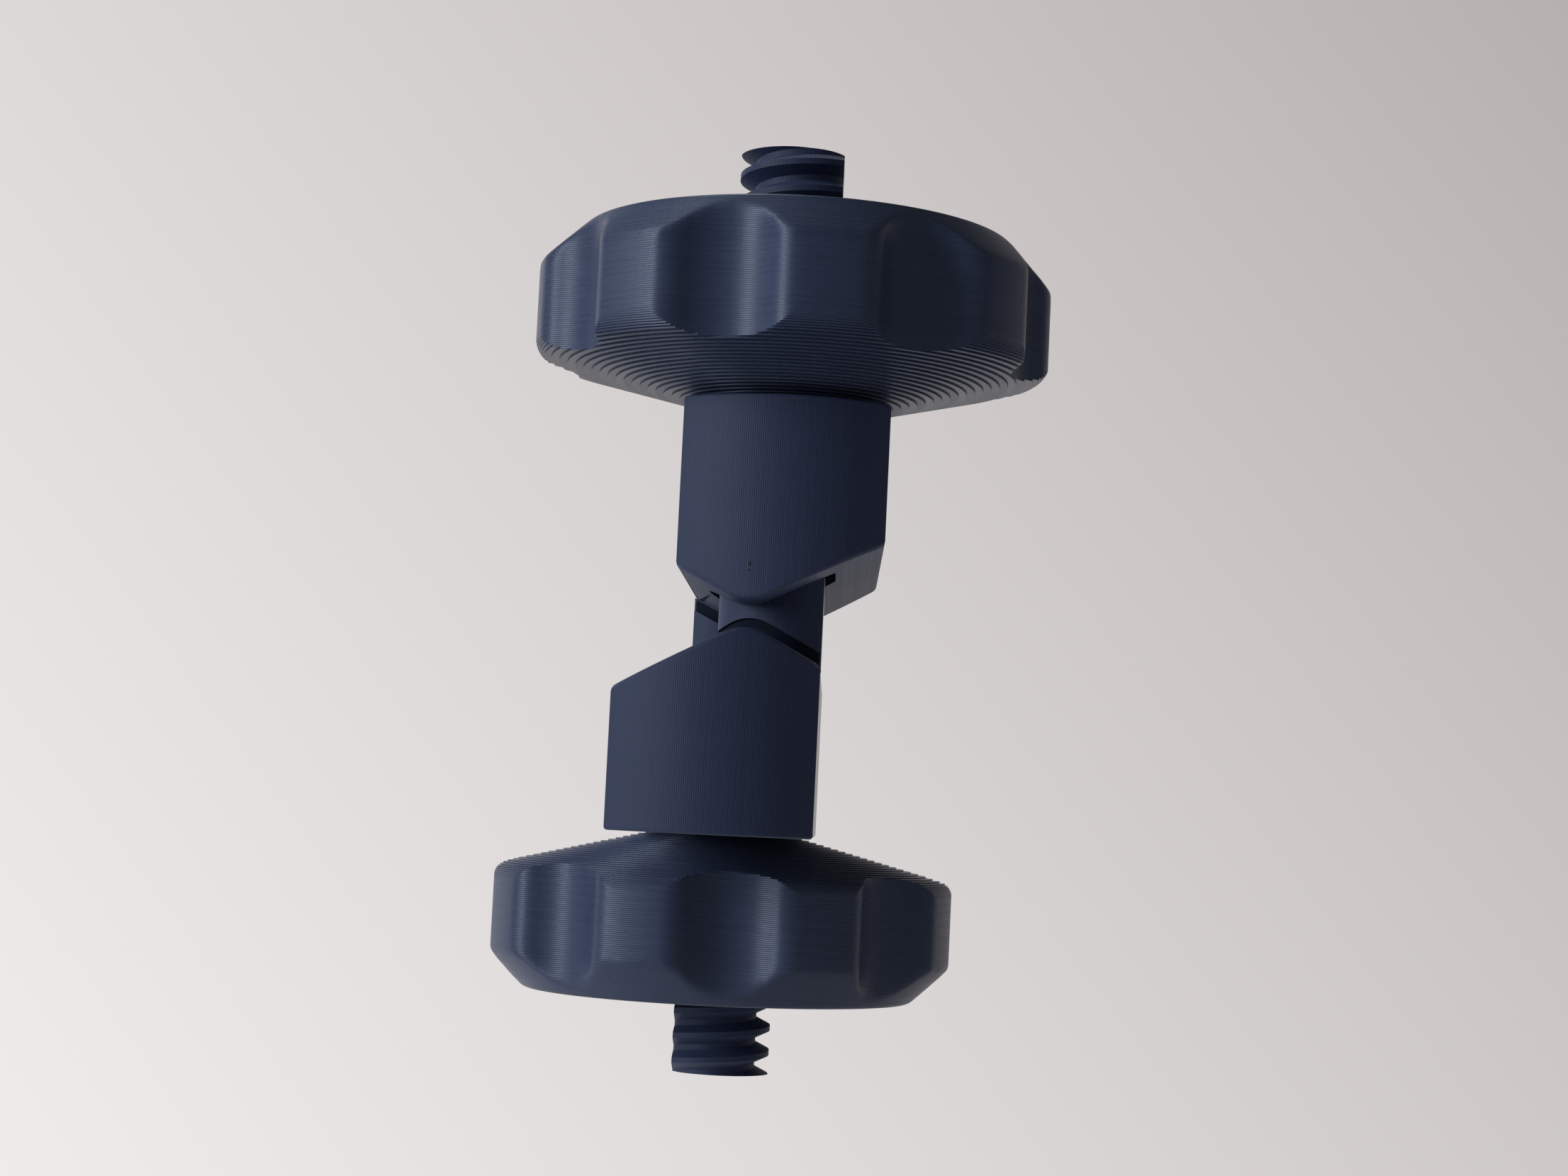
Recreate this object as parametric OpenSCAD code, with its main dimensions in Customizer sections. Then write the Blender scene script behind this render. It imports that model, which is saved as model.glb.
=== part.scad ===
// Tubing pinch clamp: two jaws with blunt V noses, drawn together by two printed screws and two hand knobs.
// Each jaw is printed in one piece with its screw; the two jaws are mirror copies of each other.
// Frame: origin on the pinch line midway between the screws, X along the tube, Z along the screws.

/* [Jaws] */
// Thickness of a jaw block, from the face it was printed on to the face opposite
jaw_w = 19.5; // [16:0.1:26]
// Distance from the pinch line to the face a jaw was printed on
bed_off = 7; // [6:0.1:9]
// Height of a jaw from the tip of its nose to the flat face under its knob
jaw_h = 19.3; // [16:0.1:26]
// Slope of the two flanks of a nose
nose_angle = 27; // [15:0.5:35]
// Radius of the blunt tip of a nose
nose_r = 4; // [1:0.1:5]
// Material in front of the screw hole at the rounded ends of a jaw
end_wall = 6.4; // [3:0.1:8]
// Gap between the two nose tips as the clamp is drawn
rest_gap = 2.5; // [0.5:0.1:8]

/* [Screws] */
// Outside diameter of a screw thread
screw_d = 11.9; // [10:0.1:16]
// Distance from a screw axis to its flat
flat_off = 4.2; // [3.4:0.1:5]
// Distance between the two screws across the tube
screw_gap = 31.8; // [26:0.1:40]
// Thread pitch
pitch = 2.6; // [1.5:0.1:4]
// Thread depth
thread_depth = 1.5; // [0.6:0.1:2]
// Plain length of a screw above its nose tip
plain_l = 13; // [8:0.5:18]
// Length of screw standing out past its knob
stub_l = 8.2; // [2:0.1:14]
// Clearance all round a screw in the hole of the other jaw
hole_clear = 1; // [0.5:0.1:2]

/* [Knobs] */
// Outside diameter of a knob over its lobes
knob_d = 50; // [40:1:70]
// Number of lobes
lobes = 8; // [5:1:9]
// Radius of the finger scallops
scallop_r = 8; // [6:0.5:14]
// Distance of a scallop centre outside the rim
scallop_out = 4.8; // [4:0.1:10]
// Height of the upright wall of a knob
wall_h = 8.6; // [6:0.1:14]
// Height of the outer bevel of a knob
bevel_h = 4.1; // [2:0.1:6]
// Width of the outer bevel of a knob
bevel_w = 4.4; // [2:0.1:7]
// Height of the shallow cone on the jaw side of a knob
cone_h = 4.5; // [2:0.1:7]
// Material around the bore where a knob bears on its jaw
hub_wall = 1.2; // [0.8:0.1:6]
// Running clearance between a screw and the bore of its knob
bore_clear = 0.1; // [0.02:0.01:0.1]
// Turn of the upper knob as the clamp is drawn
upper_turn = 8.2; // [0:0.1:45]
// Turn of the lower knob as the clamp is drawn
lower_turn = 17.9; // [0:0.1:45]

/* [Hidden] */
$fn = 96;
navy = [0.13, 0.15, 0.24];
spill = 1;                              // how far a cutting shape reaches past what it cuts
screw_r = screw_d / 2;
axis_x = bed_off - flat_off;            // screw axes stand at +axis_x in front and -axis_x behind
axis_y = screw_gap / 2;
knob_r = knob_d / 2;
bore_r = screw_r + bore_clear;
hub_r = bore_r + hub_wall;
knob_h = cone_h + wall_h + bevel_h;
hole_r = screw_r + hole_clear;
end_r = hole_r + end_wall;
nose_z = rest_gap / 2;
seat_z = nose_z + jaw_h;                // height of the face a knob bears on
screw_top = seat_z + knob_h + stub_l;
far_x = jaw_w - bed_off;                // face opposite the printed face, from the pinch line
apex_drop = nose_r / cos(nose_angle) - nose_r;
nose_steps = 8;                         // flats on each side of the blunt tip
thread_z = plain_l - nose_z;            // height where the thread of a standing screw starts
turns = floor((screw_top - thread_z) / pitch);

// drop of a flank below the nose tip, at a distance from the pinch line
function flank(x) = x * tan(nose_angle) - apex_drop;

// blunt V section of a jaw standing nose up, printed face at +X
module nose_section() {
  tip = [for (i = [-nose_steps : nose_steps]) let (turn = i * nose_angle / nose_steps)
    [-nose_r * sin(turn), nose_r * cos(turn) - nose_r]];
  polygon(concat(
    [[-far_x, -flank(far_x)], [-far_x, -jaw_h], [bed_off, -jaw_h], [bed_off, -flank(bed_off)]],
    tip
  ));
}

// one section of the thread, from the root to the crest and back
function tooth(i) = [
  [screw_r - thread_depth, thread_z + i * pitch],
  [screw_r - thread_depth, thread_z + (i + 0.12) * pitch],
  [screw_r, thread_z + (i + 0.44) * pitch],
  [screw_r, thread_z + (i + 0.56) * pitch],
  [screw_r - thread_depth, thread_z + (i + 0.88) * pitch]
];

// standing screw of the lower jaw, drawn on its own axis
module screw() {
  root = -seat_z / 2;
  rows = [for (i = [0 : turns - 1]) each tooth(i)];
  intersection() {
    rotate_extrude() polygon(concat(
      [[0, root], [screw_r, root], [screw_r, thread_z]],
      rows,
      [[screw_r - thread_depth, screw_top], [0, screw_top]]
    ));
    translate([-2 * screw_r, -2 * screw_r, root - spill])
      cube([2 * screw_r + flat_off, 4 * screw_r, screw_top - root + 2 * spill]);
  }
}

// D-shaped hole for the screw of the other jaw, drawn on the axis of that screw
module screw_hole() {
  intersection() {
    translate([0, 0, -seat_z - spill]) cylinder(r = hole_r, h = 2 * seat_z);
    translate([-flat_off - hole_clear, -2 * hole_r, -seat_z - spill])
      cube([4 * hole_r, 4 * hole_r, 2 * seat_z]);
  }
}

// plan of a jaw: straight sides between two rounded ends
module jaw_plan() {
  translate([(bed_off - far_x) / 2, 0, -seat_z]) {
    translate([-end_r, -axis_y, 0]) cube([2 * end_r, screw_gap, seat_z]);
    for (s = [-1, 1]) translate([0, s * axis_y, 0]) cylinder(r = end_r, h = seat_z);
  }
}

// jaw with its screw standing up in front
module jaw() {
  difference() {
    intersection() {
      jaw_plan();
      translate([0, axis_y + 2 * end_r, -nose_z]) rotate([90, 0, 0])
        linear_extrude(height = screw_gap + 4 * end_r) nose_section();
    }
    translate([-axis_x, axis_y, 0]) screw_hole();
  }
  translate([axis_x, -axis_y, 0]) screw();
}

// knob standing on its hub, drawn on its own axis
module knob() {
  difference() {
    intersection() {
      rotate_extrude() polygon([
        [0, 0], [hub_r, 0], [knob_r, cone_h], [knob_r, cone_h + wall_h],
        [knob_r - bevel_w, knob_h], [0, knob_h]
      ]);
      difference() {
        cylinder(r = knob_r + spill, h = knob_h);
        for (i = [0 : lobes - 1]) rotate([0, 0, (i + 0.5) * 360 / lobes])
          translate([knob_r + scallop_out, 0, -spill]) cylinder(r = scallop_r, h = knob_h + 2 * spill);
      }
    }
    translate([0, 0, -spill]) cylinder(r = bore_r, h = knob_h + 2 * spill);
  }
}

module lower_jaw() {
  color(navy) jaw();
}

// mirror copy of the lower jaw, turned over, with its screw hanging down behind
module upper_jaw() {
  color(navy) mirror([1, 0, 0]) rotate([180, 0, 0]) jaw();
}

module upper_knob() {
  color(navy) translate([axis_x, -axis_y, seat_z]) rotate([0, 0, upper_turn]) knob();
}

module lower_knob() {
  color(navy) translate([-axis_x, axis_y, -seat_z]) rotate([180, 0, 0]) rotate([0, 0, lower_turn]) knob();
}

lower_jaw();
upper_jaw();
upper_knob();
lower_knob();
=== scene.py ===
import bpy
import bmesh
import math
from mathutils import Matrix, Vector


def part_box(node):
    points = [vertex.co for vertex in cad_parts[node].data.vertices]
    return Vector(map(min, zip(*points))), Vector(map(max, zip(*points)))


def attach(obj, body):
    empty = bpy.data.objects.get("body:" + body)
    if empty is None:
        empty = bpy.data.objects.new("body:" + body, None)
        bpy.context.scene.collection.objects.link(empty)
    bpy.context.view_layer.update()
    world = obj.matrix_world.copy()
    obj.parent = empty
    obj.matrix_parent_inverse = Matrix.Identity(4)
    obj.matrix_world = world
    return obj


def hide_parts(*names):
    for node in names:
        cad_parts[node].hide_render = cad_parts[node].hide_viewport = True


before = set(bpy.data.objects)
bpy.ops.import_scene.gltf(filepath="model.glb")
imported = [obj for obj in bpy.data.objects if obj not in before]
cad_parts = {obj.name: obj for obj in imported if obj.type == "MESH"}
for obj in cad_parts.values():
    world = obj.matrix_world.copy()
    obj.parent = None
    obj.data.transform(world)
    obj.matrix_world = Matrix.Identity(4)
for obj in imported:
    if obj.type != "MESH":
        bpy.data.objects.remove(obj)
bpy.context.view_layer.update()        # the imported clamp: two jaws with their screws, and two knobs
print("frame loaded")

mm = 0.001
lowJaw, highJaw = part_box("lower_jaw"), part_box("upper_jaw")
highKnob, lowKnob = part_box("upper_knob"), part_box("lower_knob")
seatZ = highKnob[0].z                     # face of a jaw that its knob bears on
screwTop = lowJaw[1].z
bedX = lowJaw[1].x                        # face a jaw was printed on

screwSize = {
    "radius": 5.95 * mm, "flat": 4.2 * mm, "root": 4.45 * mm, "pitch": 2.6 * mm,
    "gap": 31.8 * mm,                     # between the two screws
    "threadFrom": 11.75 * mm,             # height where the thread starts
    "tipHalf": 0.28 * mm, "footHalf": 1 * mm,
    "steps": 72,
    "neckLow": 0.12 * mm, "neckHigh": 1.35 * mm,      # shadow gap where a screw leaves
    "neckDeep": 0.3 * mm,                 # the nose of its jaw
    "buried": 9 * mm,                     # how far a screw starts inside its jaw
    "frontPhase": 0.72 * mm, "backPhase": 0.72 * mm,
}
axisX = bedX - screwSize["flat"]
axisY = screwSize["gap"] / 2


# small helpers

def onlyPick(obj):
    bpy.ops.object.select_all(action="DESELECT")
    obj.select_set(True)
    bpy.context.view_layer.objects.active = obj


def settle(obj):                          # place, turn and scale go into the mesh
    onlyPick(obj)
    bpy.ops.object.transform_apply(location=True, rotation=True, scale=True)


def startEdit(obj, mode="EDGE"):
    onlyPick(obj)
    bpy.ops.object.mode_set(mode="EDIT")
    bpy.ops.mesh.select_mode(type=mode)
    bpy.ops.mesh.select_all(action="DESELECT")


def endEdit():
    bpy.ops.object.mode_set(mode="OBJECT")


def pickVerts(obj, test):
    mesh = bmesh.from_edit_mesh(obj.data)
    for v in mesh.verts:
        v.select_set(test(v.co))
    mesh.select_flush(True)
    bmesh.update_edit_mesh(obj.data)


def pickEdges(obj, test):
    mesh = bmesh.from_edit_mesh(obj.data)
    for e in mesh.edges:
        e.select_set(test(e))
    bmesh.update_edit_mesh(obj.data)


def combine(obj, tool, how):
    mod = obj.modifiers.new(how.lower(), "BOOLEAN")
    mod.operation, mod.object, mod.solver = how, tool, "EXACT"
    onlyPick(obj)
    bpy.ops.object.modifier_apply(modifier=mod.name)
    bpy.data.objects.remove(tool)


def rod(name, radius, low, high, x=0.0, y=0.0, sides=128):
    bpy.ops.object.select_all(action="DESELECT")
    bpy.ops.mesh.primitive_cylinder_add(vertices=sides, radius=radius, depth=high - low,
                                        location=(x, y, (low + high) / 2))
    obj = bpy.context.object
    obj.name = name
    settle(obj)
    return obj


def drawLine(name, points):               # a chain of edges, drawn corner by corner
    bpy.ops.object.select_all(action="DESELECT")
    bpy.ops.mesh.primitive_plane_add(size=1 * mm)
    obj = bpy.context.object
    obj.name = name
    startEdit(obj, "VERT")
    bpy.ops.mesh.select_all(action="SELECT")
    bpy.ops.mesh.merge(type="CENTER")
    bpy.ops.transform.translate(value=points[0])
    for here, there in zip(points, points[1:]):
        step = Vector(there) - Vector(here)
        bpy.ops.mesh.extrude_region_move(TRANSFORM_OT_translate={"value": step})
    endEdit()
    return obj


def lathe(name, points, x, y, steps=192):
    obj = drawLine(name, [(r, 0, z) for r, z in points])
    startEdit(obj, "VERT")
    bpy.ops.mesh.select_all(action="SELECT")
    bpy.ops.mesh.spin(steps=steps, angle=2 * math.pi, center=(0, 0, 0), axis=(0, 0, 1))
    bpy.ops.mesh.select_all(action="SELECT")
    bpy.ops.mesh.remove_doubles(threshold=1e-6)
    bpy.ops.mesh.normals_make_consistent(inside=False)
    bpy.ops.transform.translate(value=(x, y, 0))
    endEdit()
    return obj


def markEdges(obj, test, width):          # edges to be rounded later, with their own width
    startEdit(obj)
    pickEdges(obj, test)
    bpy.ops.transform.edge_bevelweight(value=width / mm)
    endEdit()


def roundEdges(obj, segments=3):
    mod = obj.modifiers.new("rounds", "BEVEL")
    mod.limit_method, mod.width, mod.segments, mod.use_clamp_overlap = "WEIGHT", 1 * mm, segments, False
    onlyPick(obj)
    bpy.ops.object.modifier_apply(modifier=mod.name)


def sharp(edge):
    return len(edge.link_faces) == 2 and edge.calc_face_angle(0) > 0.3


def smoothEdges(obj, degrees=28):
    onlyPick(obj)
    bpy.ops.object.shade_smooth_by_angle(angle=math.radians(degrees))
    mod = obj.modifiers.new("flats", "WEIGHTED_NORMAL")
    mod.keep_sharp = True
    bpy.ops.object.modifier_apply(modifier=mod.name)


# screw thread

def threadRidge(name, phase, low, high, grow=0.0):
    # helical ridge round the origin; its crest passes straight over +X at phase
    s = screwSize
    inner, tip = s["root"] - 0.25 * mm, s["radius"] + grow
    foot, top = s["footHalf"] + grow, s["tipHalf"] + grow
    first = phase + s["pitch"] * math.floor((low - phase) / s["pitch"])
    turns = math.ceil((high - first) / s["pitch"])
    foot += (foot - top) * (s["root"] - inner) / (tip - s["root"])     # flanks run on into the core
    obj = drawLine(name, [(inner, 0, first - foot), (tip, 0, first - top),
                          (tip, 0, first + top), (inner, 0, first + foot)])
    startEdit(obj, "VERT")
    bpy.ops.mesh.select_all(action="SELECT")
    bpy.ops.mesh.edge_face_add()
    bpy.ops.mesh.delete(type="ONLY_FACE")
    endEdit()
    mod = obj.modifiers.new("screw", "SCREW")
    mod.axis, mod.angle, mod.screw_offset = "Z", 2 * math.pi, s["pitch"]
    mod.iterations, mod.steps, mod.render_steps = turns, s["steps"], s["steps"]
    mod.use_smooth_shade = False
    onlyPick(obj)
    bpy.ops.object.modifier_apply(modifier=mod.name)
    startEdit(obj, "VERT")
    bpy.ops.mesh.select_all(action="SELECT")
    bpy.ops.mesh.remove_doubles(threshold=1e-7)
    bpy.ops.mesh.fill_holes(sides=0)
    bpy.ops.mesh.select_all(action="SELECT")
    bpy.ops.mesh.normals_make_consistent(inside=False)
    endEdit()
    return obj


def threadedRod(name, phase, top):
    s = screwSize
    low, high, deep = s["neckLow"], s["neckHigh"], s["radius"] - s["neckDeep"]
    obj = lathe(name, [(0, -s["buried"]), (s["radius"], -s["buried"]), (s["radius"], low), (deep, low),
                       (deep, high), (s["radius"], high), (s["radius"], s["threadFrom"]),
                       (0, s["threadFrom"])], 0, 0, steps=120)
    for v in obj.data.vertices:           # the neck follows the slope of the nose
        if min(abs(v.co.z - low), abs(v.co.z - high)) < 0.001 * mm:
            v.co.z += noseHeight(v.co.x + axisX)
    combine(obj, rod("core", s["root"], s["threadFrom"] - 2 * mm, top + 3 * mm), "UNION")
    combine(obj, threadRidge("ridge", phase, s["threadFrom"] - 2 * mm, top), "UNION")
    bpy.ops.object.select_all(action="DESELECT")
    low, left = -9.5 * mm, -8 * mm
    right = s["flat"] - 0.02 * mm
    bpy.ops.mesh.primitive_cube_add(size=1, location=((left + right) / 2, 0, (low + top) / 2))
    trim = bpy.context.object
    trim.scale = (right - left, 16 * mm, top - low)
    settle(trim)
    combine(obj, trim, "INTERSECT")
    return obj


# jaws

jawSize = {
    "width": 19.5 * mm, "slope": math.radians(27), "tip": 4 * mm, "noseZ": 1.25 * mm,
    "endRadius": 13.35 * mm, "holeRadius": 6.95 * mm, "holeFlat": 5.2 * mm,
    "edgeRound": 0.3 * mm, "noseRound": 0.48 * mm,
    "noseEdgesFrom": -9 * mm,             # edges above this height get noseRound
}


def jawBlock(name):
    j = jawSize
    width, noseTop = j["width"], -j["noseZ"]
    midX = bedX - width / 2
    drop = j["tip"] / math.cos(j["slope"]) - j["tip"]
    bpy.ops.object.select_all(action="DESELECT")
    bpy.ops.mesh.primitive_cube_add(size=1, location=(midX, 0, (1 * mm - seatZ) / 2))
    obj = bpy.context.object
    obj.name = name
    obj.scale = (width, screwSize["gap"] + 2 * j["endRadius"] + 4 * mm, seatZ + 1 * mm)
    settle(obj)
    startEdit(obj)
    for side in (-1, 1):                  # the two flanks of the nose
        bpy.ops.mesh.select_all(action="SELECT")
        bpy.ops.mesh.bisect(plane_co=(0, 0, noseTop + drop),
                            plane_no=(side * math.sin(j["slope"]), 0, math.cos(j["slope"])),
                            use_fill=True, clear_outer=True)
    apexZ = noseTop + drop
    pickEdges(obj, lambda e: all(abs(v.co.x) < 1e-5 and abs(v.co.z - apexZ) < 1e-5 for v in e.verts))
    bpy.ops.mesh.bevel(offset=j["tip"] * math.tan(j["slope"]), segments=14, profile=0.5, affect="EDGES")
    endEdit()
    plan = rod("plan", j["endRadius"], -seatZ - 2 * mm, 3 * mm, x=midX, sides=92)
    startEdit(plan, "VERT")
    for side in (-1, 1):                  # pulled out to a long round-ended plan
        pickVerts(plan, lambda co: co.y * side > 1e-5 if side > 0 else co.y < -1e-5)
        bpy.ops.transform.translate(value=(0, side * axisY, 0))
        bpy.ops.mesh.select_all(action="DESELECT")
    endEdit()
    combine(obj, plan, "INTERSECT")
    hole = rod("hole", j["holeRadius"], -seatZ - 2 * mm, 4 * mm, x=-axisX, y=axisY, sides=112)
    startEdit(hole)
    bpy.ops.mesh.select_all(action="SELECT")
    bpy.ops.mesh.bisect(plane_co=(-axisX - j["holeFlat"], 0, 0), plane_no=(-1, 0, 0),
                        use_fill=True, clear_outer=True)
    endEdit()
    combine(obj, hole, "DIFFERENCE")
    return obj


def noseHeight(x):                        # top of the nose above the pinch line
    j = jawSize
    if abs(x) < j["tip"] * math.sin(j["slope"]):
        return math.sqrt(j["tip"] ** 2 - x ** 2) - j["tip"] - j["noseZ"]
    return j["tip"] / math.cos(j["slope"]) - j["tip"] - j["noseZ"] - abs(x) * math.tan(j["slope"])


# the faces this picks get the painted shade of the neck
def inNeck(co, side):                     # co lies on the wall of the neck
    away = math.hypot(co.x * side - axisX, co.y * side + axisY)
    rise = co.z * side - noseHeight(co.x)
    return away < screwSize["radius"] - 0.05 * mm and 0.08 * mm < rise < screwSize["neckHigh"] + 0.02 * mm \
        and co.x * side < bedX - 0.2 * mm


def moveMesh(obj, shift):
    startEdit(obj)
    bpy.ops.mesh.select_all(action="SELECT")
    bpy.ops.transform.translate(value=shift)
    endEdit()


def throughCentre(obj):                   # the other jaw is the same block seen through the pinch point
    for v in obj.data.vertices:
        v.co = -v.co
    obj.data.flip_normals()


def roundJaw(obj, side):
    # the curved ends are rounded where they meet the nose and the knob face
    j = jawSize
    midX = bedX - j["width"] / 2

    def onEnd(co):
        return abs(math.hypot(co.x - midX, abs(co.y) - axisY) - j["endRadius"]) < 0.05 * mm

    def endEdge(e):
        a, b = e.verts[0].co * side, e.verts[1].co * side
        return sharp(e) and onEnd(a) and onEnd(b) and (a.xy - b.xy).length > abs(a.z - b.z)

    def high(e):
        return min(v.co.z * side for v in e.verts) > j["noseEdgesFrom"]

    markEdges(obj, lambda e: endEdge(e) and not high(e), j["edgeRound"])
    markEdges(obj, lambda e: endEdge(e) and high(e), j["noseRound"])
    roundEdges(obj)


def buildJaw(name, upper):
    obj = jawBlock(name)
    if upper:
        throughCentre(obj)
    phase = screwSize["backPhase"] if upper else screwSize["frontPhase"]
    bolt = threadedRod("bolt", phase, screwTop)
    if upper:                             # over about X and half round about Z: the thread keeps its hand
        onlyPick(bolt)
        bolt.rotation_euler = (math.pi, 0, math.pi)
        settle(bolt)
        moveMesh(bolt, (-axisX, axisY, 0))
    else:
        moveMesh(bolt, (axisX, -axisY, 0))
    combine(obj, bolt, "UNION")
    roundJaw(obj, -1 if upper else 1)
    smoothEdges(obj)
    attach(obj, "upper_jaw" if upper else "lower_jaw")
    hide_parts("upper_jaw" if upper else "lower_jaw")
    print(name, len(obj.data.polygons), "faces")
    return obj


# knobs

knobSize = {
    "radius": 25 * mm, "wall": 8.6 * mm, "bevelHeight": 4.1 * mm, "bevelWidth": 4.4 * mm,
    "cone": 4.5 * mm, "hub": 7.25 * mm, "lobes": 8, "scallop": 6.5 * mm, "scallopOut": 3.3 * mm,
    "lobeRound": 2.9 * mm,                # corner between a lobe and a scallop, seen from above
    "coneRound": 1.8 * mm, "voxel": 0.32 * mm, "soften": 12,
    "layer": 0.2 * mm, "nib": 0.05 * mm, "play": 0.12 * mm,
    "upperTurn": math.radians(8.2), "lowerTurn": math.radians(17.9),
}


def arc(centre, radius, start, end, steps):
    turn = [start + (end - start) * i / steps for i in range(steps + 1)]
    return [(centre[0] + radius * math.cos(t), centre[1] + radius * math.sin(t)) for t in turn]


def knobPlan():                           # one lobe and one scallop at a time, all the way round
    k = knobSize
    reach = k["radius"] + k["scallopOut"]
    inner = k["radius"] - k["lobeRound"]
    outer = k["scallop"] + k["lobeRound"]
    half = math.pi / k["lobes"]
    atAxis = math.acos((inner ** 2 + reach ** 2 - outer ** 2) / (2 * inner * reach))
    atScallop = math.acos((outer ** 2 + reach ** 2 - inner ** 2) / (2 * outer * reach))
    points = []
    for i in range(k["lobes"]):
        mid = 2 * half * i                # middle of this lobe
        edge, dip = half - atAxis, mid + half
        corner = (inner * math.cos(mid + edge), inner * math.sin(mid + edge))
        after = (inner * math.cos(dip + atAxis), inner * math.sin(dip + atAxis))
        hollow = (reach * math.cos(dip), reach * math.sin(dip))
        points += arc((0, 0), k["radius"], mid - edge, mid + edge, 4)[:-1]
        points += arc(corner, k["lobeRound"], mid + edge, dip + atScallop, 7)[:-1]
        points += arc(hollow, k["scallop"], dip + math.pi + atScallop, dip + math.pi - atScallop, 14)[:-1]
        points += arc(after, k["lobeRound"], dip - atScallop, mid + 2 * half - edge, 7)[:-1]
    return points


def knobBlank(name):
    k = knobSize
    wallTop = k["cone"] + k["wall"]
    top = wallTop + k["bevelHeight"]
    obj = drawLine(name, [(x, y, -2 * mm) for x, y in knobPlan()])
    startEdit(obj, "VERT")
    bpy.ops.mesh.select_all(action="SELECT")
    bpy.ops.mesh.edge_face_add()
    bpy.ops.mesh.extrude_region_move(TRANSFORM_OT_translate={"value": (0, 0, top + 3 * mm)})
    bpy.ops.mesh.select_all(action="SELECT")
    bpy.ops.mesh.normals_make_consistent(inside=False)
    endEdit()
    out = 1 * mm                          # the turned shape stands proud of the lobes below the bevel
    turned = lathe("turned", [(0, -1 * mm), (k["radius"] + out, -1 * mm),
                              (k["radius"] + out, wallTop - out * k["bevelHeight"] / k["bevelWidth"]),
                              (k["radius"] - k["bevelWidth"], top), (0, top)], 0, 0, steps=160)
    combine(obj, turned, "INTERSECT")
    onlyPick(obj)                         # soft arches where the hollows run up into the bevel
    mod = obj.modifiers.new("even", "REMESH")
    mod.mode, mod.voxel_size = "VOXEL", k["voxel"]
    bpy.ops.object.modifier_apply(modifier=mod.name)
    mod = obj.modifiers.new("soften", "SMOOTH")
    mod.factor, mod.iterations = 0.5, k["soften"]
    bpy.ops.object.modifier_apply(modifier=mod.name)
    combine(obj, coneCutter("cone"), "DIFFERENCE")
    return obj


def layerRadius(z):                       # cone, then a round, then the wall
    k = knobSize
    slope = math.atan2(k["radius"] - k["hub"], k["cone"])
    reach = k["coneRound"] * math.tan(slope / 2)
    centre = (k["radius"] - k["coneRound"], k["cone"] + reach)
    if z >= centre[1]:
        return k["radius"]
    if z > k["cone"] - reach * math.cos(slope):
        return centre[0] + math.sqrt(k["coneRound"] ** 2 - (centre[1] - z) ** 2)
    return k["hub"] + (k["radius"] - k["hub"]) * z / k["cone"]


def coneCutter(name):                     # a stack of layers, each one a step further in
    k = knobSize
    layers = math.ceil((k["cone"] + k["coneRound"] * 0.8) / k["layer"])
    out = k["radius"] + 3 * mm
    points = [(0, -3 * mm), (out, -3 * mm), (out, (layers + 0.3) * k["layer"]),
              (k["radius"] + 0.01 * mm, (layers + 0.3) * k["layer"])]
    for i in range(layers, 0, -1):
        r = layerRadius((i - 0.5) * k["layer"])
        points += [(r - k["nib"] * 0.4, i * k["layer"] + 0.001 * mm),
                   (r, i * k["layer"] - k["nib"]),
                   (r, (i - 1) * k["layer"] + k["nib"]),
                   (r - k["nib"] * 0.7, (i - 1) * k["layer"] + 0.001 * mm)]
    points[-1] = (points[-1][0], 0)
    points.append((0, 0))
    return lathe(name, points, 0, 0)


def buildKnob(blank, name, upper):
    k, s = knobSize, screwSize
    obj = blank.copy()
    obj.data = blank.data.copy()
    obj.name = name
    bpy.context.scene.collection.objects.link(obj)
    top = k["cone"] + k["wall"] + k["bevelHeight"]
    if upper:
        obj.rotation_euler = (0, 0, k["upperTurn"])
        obj.location = (0, 0, seatZ)
    else:
        obj.rotation_euler = (math.pi, 0, -k["lowerTurn"])
        obj.location = (0, 0, -seatZ)
    settle(obj)
    low, high = (seatZ, seatZ + top) if upper else (-seatZ - top, -seatZ)
    bore = rod("bore", s["root"] + k["play"], low - 2 * mm, high + 2 * mm)
    phase = s["frontPhase"] if upper else s["backPhase"]
    # the lower groove is half a pitch out of step with its screw, which has the half turn about Z too
    groove = threadRidge("groove", phase if upper else -phase, low - 4 * mm, high + 4 * mm, grow=k["play"])
    combine(bore, groove, "UNION")
    combine(obj, bore, "DIFFERENCE")
    moveMesh(obj, (axisX, -axisY, 0) if upper else (-axisX, axisY, 0))
    smoothEdges(obj)
    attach(obj, "upper_knob" if upper else "lower_knob")
    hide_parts("upper_knob" if upper else "lower_knob")
    print(name, len(obj.data.polygons), "faces")
    return obj


lowerJaw = buildJaw("lower_jaw_print", False)
upperJaw = buildJaw("upper_jaw_print", True)
knobBody = knobBlank("knob_blank")
upperKnob = buildKnob(knobBody, "upper_knob_print", True)
lowerKnob = buildKnob(knobBody, "lower_knob_print", False)
bpy.data.objects.remove(knobBody)


# plastic

knobLook = {
    "navy": (0.018, 0.027, 0.058, 1), "dusty": (0.027, 0.038, 0.078, 1),
    "roughness": 0.34, "shine": 0.42, "layer": 0.2 * mm, "bead": 0.014 * mm, "terrace": 0.35,
    "flatness": 0, "bedGloss": 0, "pitShades": (),
}
jawLook = {
    "navy": (0.0215, 0.031, 0.073, 1), "dusty": (0.029, 0.041, 0.092, 1),
    "roughness": 0.55, "shine": 0.35, "layer": 0.2 * mm, "bead": 0.014 * mm, "terrace": 1,
    "flatness": 1, "bedGloss": 0.36,      # the bed face came off smooth glass
    "pitShades": (),
}

# two spots of painted shade where the front face has small pits
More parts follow.
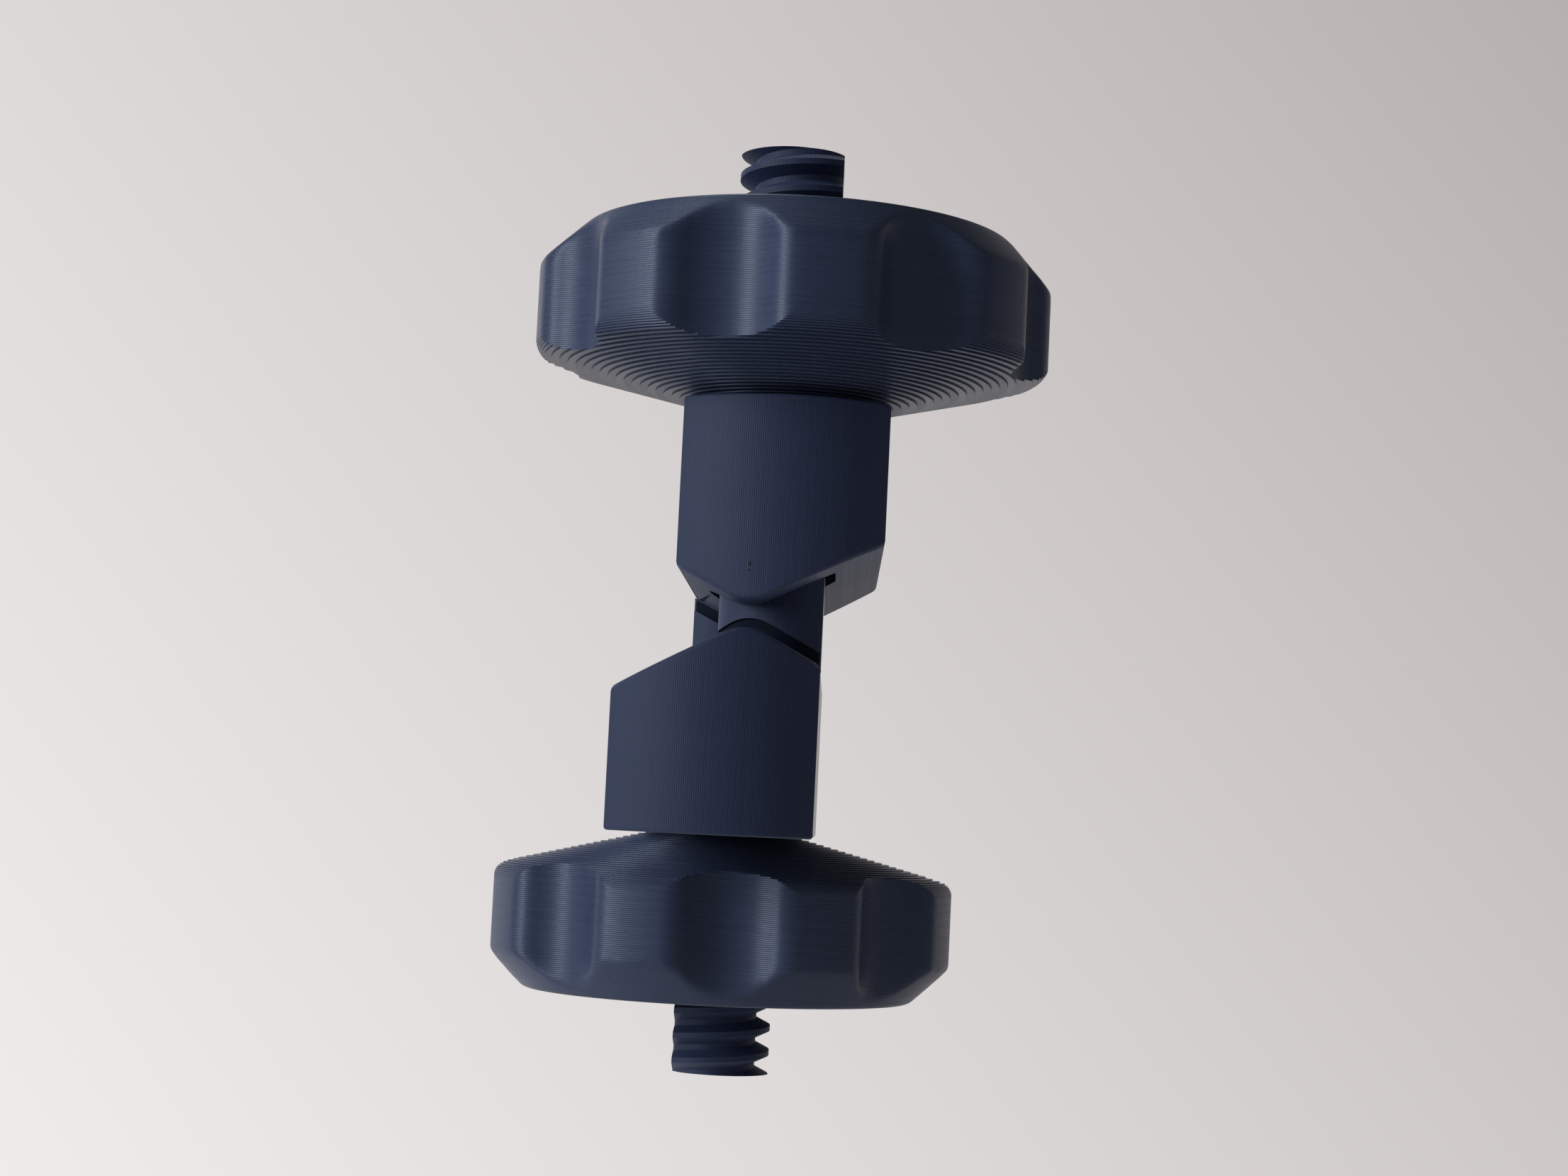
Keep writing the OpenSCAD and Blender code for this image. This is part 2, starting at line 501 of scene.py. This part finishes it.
upperJawLook = dict(jawLook, pitShades=((0.06 * mm, 4.58 * mm, 0.13 * mm, 0.24 * mm),
                                   (0.02 * mm, 3.98 * mm, 0.09 * mm, 0.12 * mm)))
# painted shade: a darker, duller copy of the jaw plastic for the neck of each screw just above the nose
neckShadeLook = dict(jawLook, navy=(0.007, 0.010, 0.020, 1), dusty=(0.010, 0.014, 0.028, 1),
                roughness=0.8, shine=0.08, bedGloss=0)


def newSocket(tree, name, way, kind, value=None):
    socket = tree.interface.new_socket(name=name, in_out=way, socket_type="NodeSocket" + kind)
    if value is not None:
        socket.default_value = value
    return socket


def mathNode(tree, what, first, second=None):
    node = tree.nodes.new("ShaderNodeMath")
    node.operation = what
    for slot, value in enumerate((first, second)):
        if value is None:
            continue
        if isinstance(value, (int, float)):
            node.inputs[slot].default_value = value
        else:
            tree.links.new(value, node.inputs[slot])
    return node.outputs[0]


def printLayers():                        # beads of plastic laid one on another along one direction
    tree = bpy.data.node_groups.new("print layers", "ShaderNodeTree")
    newSocket(tree, "Along", "INPUT", "Float")
    newSocket(tree, "Point", "INPUT", "Vector")
    newSocket(tree, "Layer", "INPUT", "Float", 0.2 * mm)
    newSocket(tree, "Height", "OUTPUT", "Float")
    newSocket(tree, "Streak", "OUTPUT", "Float")
    start, end = tree.nodes.new("NodeGroupInput"), tree.nodes.new("NodeGroupOutput")
    count = mathNode(tree, "DIVIDE", start.outputs["Along"], start.outputs["Layer"])
    bead = mathNode(tree, "ABSOLUTE", mathNode(tree, "SINE", mathNode(tree, "MULTIPLY", count, math.pi)))
    number = mathNode(tree, "FLOOR", count)
    noise = tree.nodes.new("ShaderNodeTexWhiteNoise")
    noise.noise_dimensions = "1D"
    tree.links.new(number, noise.inputs["W"])
    wobble = tree.nodes.new("ShaderNodeTexNoise")     # every bead wanders a little along its own way
    wobble.noise_dimensions = "4D"
    wobble.inputs["Scale"].default_value = 260
    wobble.inputs["Detail"].default_value = 2
    tree.links.new(start.outputs["Point"], wobble.inputs["Vector"])
    tree.links.new(mathNode(tree, "MULTIPLY", number, 3.7), wobble.inputs["W"])
    shift = mathNode(tree, "MULTIPLY", mathNode(tree, "SUBTRACT", wobble.outputs["Fac"], 0.5), 0.9)
    height = mathNode(tree, "ADD", bead, shift)
    tree.links.new(height, end.inputs["Height"])
    tree.links.new(noise.outputs["Value"], end.inputs["Streak"])
    return tree


layersGroup = printLayers()


def printedPlastic(name, look, axis, origin, side=1):
    mat = bpy.data.materials.new(name)
    mat.use_nodes = True
    tree = mat.node_tree
    tree.nodes.clear()
    out = tree.nodes.new("ShaderNodeOutputMaterial")
    shader = tree.nodes.new("ShaderNodeBsdfPrincipled")
    tree.links.new(shader.outputs["BSDF"], out.inputs["Surface"])
    shader.inputs["IOR"].default_value = 1.5
    shader.inputs["Specular IOR Level"].default_value = look["shine"]
    shader.inputs["Specular Tint"].default_value = (0.74, 0.84, 1, 1)
    place = tree.nodes.new("ShaderNodeTexCoord")
    split = tree.nodes.new("ShaderNodeSeparateXYZ")
    tree.links.new(place.outputs["Object"], split.inputs[0])
    layers = tree.nodes.new("ShaderNodeGroup")
    layers.node_tree = layersGroup
    layers.inputs["Layer"].default_value = look["layer"]
    along = mathNode(tree, "SUBTRACT", split.outputs[axis], origin)
    tree.links.new(along, layers.inputs["Along"])
    tree.links.new(place.outputs["Object"], layers.inputs["Point"])
    cloud = tree.nodes.new("ShaderNodeTexNoise")
    cloud.inputs["Scale"].default_value = 160
    cloud.inputs["Detail"].default_value = 6
    tree.links.new(place.outputs["Object"], cloud.inputs["Vector"])
    blend = mathNode(tree, "ADD", mathNode(tree, "MULTIPLY", layers.outputs["Streak"], 0.45),
                     mathNode(tree, "MULTIPLY", cloud.outputs["Fac"], 0.5))
    tint = tree.nodes.new("ShaderNodeMix")
    tint.data_type = "RGBA"
    tint.inputs["A"].default_value, tint.inputs["B"].default_value = look["navy"], look["dusty"]
    tree.links.new(blend, tint.inputs["Factor"])
    shader.inputs["Diffuse Roughness"].default_value = look["flatness"]
    colour = tint.outputs["Result"]
    for x, z, wide, tall in look["pitShades"]:  # painted shade of small pits where a bit of plastic is missing, on the front only
        across = mathNode(tree, "DIVIDE", mathNode(tree, "SUBTRACT", split.outputs["X"], x), wide)
        up = mathNode(tree, "DIVIDE", mathNode(tree, "SUBTRACT", split.outputs["Z"], z), tall)
        away = mathNode(tree, "ADD", mathNode(tree, "MULTIPLY", across, across),
                        mathNode(tree, "MULTIPLY", up, up))
        pitShadeMask = mathNode(tree, "MULTIPLY", mathNode(tree, "LESS_THAN", away, 1),
                       mathNode(tree, "LESS_THAN", split.outputs["Y"], -axisY))
        pitShade = tree.nodes.new("ShaderNodeMix")
        pitShade.data_type = "RGBA"
        pitShade.inputs["B"].default_value = (0.001, 0.001, 0.002, 1)
        tree.links.new(pitShadeMask, pitShade.inputs["Factor"])
        tree.links.new(colour, pitShade.inputs["A"])
        colour = pitShade.outputs["Result"]
    tree.links.new(colour, shader.inputs["Base Color"])
    rough = mathNode(tree, "ADD", look["roughness"], mathNode(tree, "MULTIPLY", blend, 0.12))
    if look["bedGloss"]:
        onBed = mathNode(tree, "GREATER_THAN", mathNode(tree, "MULTIPLY", split.outputs["X"], side),
                         bedX - 0.03 * mm)
        rough = mathNode(tree, "SUBTRACT", rough, mathNode(tree, "MULTIPLY", onBed, look["bedGloss"]))
    tree.links.new(rough, shader.inputs["Roughness"])
    turn = None
    if look["terrace"] < 1:               # a sloping face is a stair of layers, seen by its risers
        flatten = tree.nodes.new("ShaderNodeVectorMath")
        flatten.operation = "MULTIPLY"
        flatten.inputs[1].default_value = (1, 1, look["terrace"])
        turn = tree.nodes.new("ShaderNodeVectorTransform")
        turn.vector_type, turn.convert_from, turn.convert_to = "NORMAL", "OBJECT", "WORLD"
        tree.links.new(place.outputs["Normal"], flatten.inputs[0])
        tree.links.new(flatten.outputs[0], turn.inputs[0])
    bump = tree.nodes.new("ShaderNodeBump")
    bump.inputs["Strength"].default_value = 1
    bump.inputs["Distance"].default_value = look["bead"]
    tree.links.new(layers.outputs["Height"], bump.inputs["Height"])
    if turn:
        tree.links.new(turn.outputs[0], bump.inputs["Normal"])
    tree.links.new(bump.outputs["Normal"], shader.inputs["Normal"])
    return mat


lowerJawPlastic = printedPlastic("lower jaw plastic", jawLook, "X", bedX)
upperJawPlastic = printedPlastic("upper jaw plastic", upperJawLook, "X", -bedX, side=-1)
lowerNeckShadePaint = printedPlastic("lower jaw neck painted shade", neckShadeLook, "X", bedX)
upperNeckShadePaint = printedPlastic("upper jaw neck painted shade", neckShadeLook, "X", -bedX, side=-1)
upperKnobPlastic = printedPlastic("upper knob plastic", knobLook, "Z", highKnob[1].z)
lowerKnobPlastic = printedPlastic("lower knob plastic", knobLook, "Z", lowKnob[0].z)
for obj, mat in ((lowerJaw, lowerJawPlastic), (upperJaw, upperJawPlastic),
                 (upperKnob, upperKnobPlastic), (lowerKnob, lowerKnobPlastic)):
    obj.data.materials.clear()
    obj.data.materials.append(mat)
# faces on the neck wall take the painted-shade material
for obj, mat, side in ((lowerJaw, lowerNeckShadePaint, 1), (upperJaw, upperNeckShadePaint, -1)):
    obj.data.materials.append(mat)
    for face in obj.data.polygons:
        face.material_index = 1 if inNeck(face.center, side) else 0
print("plastic ready")


# room, light and camera

roomLook = {
    "floor": -0.42, "back": 0.85, "half": 1.6, "bend": 0.35, "wallHeight": 1.6,
    "slantX": 0.9, "slantZ": 0.76, "slantFrom": -0.45, "slantTo": 0.55,     # painted light falloff: the glowing wall darkens this way
    "pale": (0.70, 0.675, 0.665, 1), "bright": (0.874, 0.848, 0.84, 1), "shade": (0.454, 0.42, 0.417, 1),
    "world": 0.16, "worldBelow": 0.235,
}


def buildRoom():
    look = roomLook
    bpy.ops.object.select_all(action="DESELECT")
    bpy.ops.mesh.primitive_plane_add(size=2, location=(0, 0, look["floor"]))
    room = bpy.context.object
    room.name = "floor_sweep"
    room.scale = (look["half"], look["back"], 1)
    settle(room)
    startEdit(room)
    pickEdges(room, lambda e: all(v.co.y > look["back"] - 1e-4 for v in e.verts))
    bpy.ops.mesh.extrude_region_move(TRANSFORM_OT_translate={"value": (0, 0, look["wallHeight"])})
    pickEdges(room, lambda e: all(v.co.y > look["back"] - 1e-4 and v.co.z < look["floor"] + 1e-4
                                  for v in e.verts))
    bpy.ops.mesh.bevel(offset=look["bend"], segments=16, profile=0.5, affect="EDGES")
    endEdit()
    smoothEdges(room, 60)
    mat = bpy.data.materials.new("pale wall with painted glow")
    mat.use_nodes = True
    tree = mat.node_tree
    tree.nodes.clear()
    out = tree.nodes.new("ShaderNodeOutputMaterial")
    mixer = tree.nodes.new("ShaderNodeMixShader")
    paint = tree.nodes.new("ShaderNodeBsdfDiffuse")
    glow = tree.nodes.new("ShaderNodeEmission")
    rays = tree.nodes.new("ShaderNodeLightPath")
    paint.inputs["Color"].default_value = look["pale"]
    place = tree.nodes.new("ShaderNodeTexCoord")
    split = tree.nodes.new("ShaderNodeSeparateXYZ")
    tree.links.new(place.outputs["Object"], split.inputs[0])
    slant = mathNode(tree, "ADD", mathNode(tree, "MULTIPLY", split.outputs["X"], look["slantX"]),
                     mathNode(tree, "MULTIPLY", split.outputs["Z"], look["slantZ"]))
    ramp = tree.nodes.new("ShaderNodeMapRange")
    ramp.inputs["From Min"].default_value = look["slantFrom"]
    ramp.inputs["From Max"].default_value = look["slantTo"]
    tree.links.new(slant, ramp.inputs["Value"])
    tone = tree.nodes.new("ShaderNodeMix")
    tone.data_type = "RGBA"
    tone.inputs["A"].default_value = look["bright"]
    tone.inputs["B"].default_value = look["shade"]
    tree.links.new(ramp.outputs["Result"], tone.inputs["Factor"])
    # painted light: the wall glows for camera and mirror rays, brighter to the lower left and darker to the
    # upper right
    tree.links.new(tone.outputs["Result"], glow.inputs["Color"])
    seen = mathNode(tree, "MAXIMUM", rays.outputs["Is Camera Ray"], rays.outputs["Is Glossy Ray"])
    tree.links.new(seen, mixer.inputs[0])
    tree.links.new(paint.outputs[0], mixer.inputs[1])
    tree.links.new(glow.outputs[0], mixer.inputs[2])
    tree.links.new(mixer.outputs[0], out.inputs["Surface"])
    room.data.materials.append(mat)


def buildWorld():
    world = bpy.data.worlds.new("soft room")
    bpy.context.scene.world = world
    world.use_nodes = True
    tree = world.node_tree
    tree.nodes.clear()
    out = tree.nodes.new("ShaderNodeOutputWorld")
    dim, bright = tree.nodes.new("ShaderNodeBackground"), tree.nodes.new("ShaderNodeBackground")
    rays, mixer = tree.nodes.new("ShaderNodeLightPath"), tree.nodes.new("ShaderNodeMixShader")
    dim.inputs["Color"].default_value = (0.95, 0.96, 1, 1)
    bright.inputs["Color"].default_value = roomLook["pale"]
    place, split = tree.nodes.new("ShaderNodeTexCoord"), tree.nodes.new("ShaderNodeSeparateXYZ")
    tree.links.new(place.outputs["Generated"], split.inputs[0])
    lift = tree.nodes.new("ShaderNodeMapRange")       # a pale table throws some light up
    lift.inputs["From Min"].default_value, lift.inputs["From Max"].default_value = 0.3, -0.6
    lift.inputs["To Min"].default_value = roomLook["world"]
    lift.inputs["To Max"].default_value = roomLook["worldBelow"]
    tree.links.new(split.outputs["Z"], lift.inputs["Value"])
    tree.links.new(lift.outputs["Result"], dim.inputs["Strength"])
    tree.links.new(rays.outputs["Is Camera Ray"], mixer.inputs[0])
    tree.links.new(dim.outputs[0], mixer.inputs[1])
    tree.links.new(bright.outputs[0], mixer.inputs[2])
    tree.links.new(mixer.outputs[0], out.inputs["Surface"])


def addLamp(name, place, size, power, colour=(1, 1, 1), mirrored=True):
    lamp = bpy.data.lights.new(name, "AREA")
    lamp.shape, lamp.size, lamp.size_y = "RECTANGLE", size[0], size[1]
    lamp.energy, lamp.color = power, colour
    obj = bpy.data.objects.new(name, lamp)
    bpy.context.scene.collection.objects.link(obj)
    obj.location = place
    obj.rotation_euler = (-Vector(place)).to_track_quat("-Z", "Y").to_euler()
    obj.visible_glossy = mirrored
    return obj


buildRoom()
buildWorld()
addLamp("window", (-1.02, -0.62, 0.30), (0.26, 0.6), 8.5, (0.97, 0.985, 1))
addLamp("window_side", (-1.2, -0.3, 0.34), (0.9, 0.9), 10, (0.97, 0.985, 1), mirrored=False)
addLamp("ceiling", (-0.35, 0.12, 1.25), (0.6, 0.6), 6, (1, 0.99, 0.97))

cameraView = {
    "place": (8.60 * mm, -286.82 * mm, -18.83 * mm), "turn": (94.726, -2.764, 0.947),
    "lens": 64.39, "sensor": 36,
}
camera = bpy.data.objects.new("camera", bpy.data.cameras.new("camera"))
bpy.context.scene.collection.objects.link(camera)
camera.location = cameraView["place"]
camera.rotation_euler = [math.radians(angle) for angle in cameraView["turn"]]
camera.data.lens, camera.data.sensor_width = cameraView["lens"], cameraView["sensor"]
bpy.context.scene.camera = camera
bpy.context.scene.view_settings.view_transform = "Standard"
print("room, lights and camera ready")
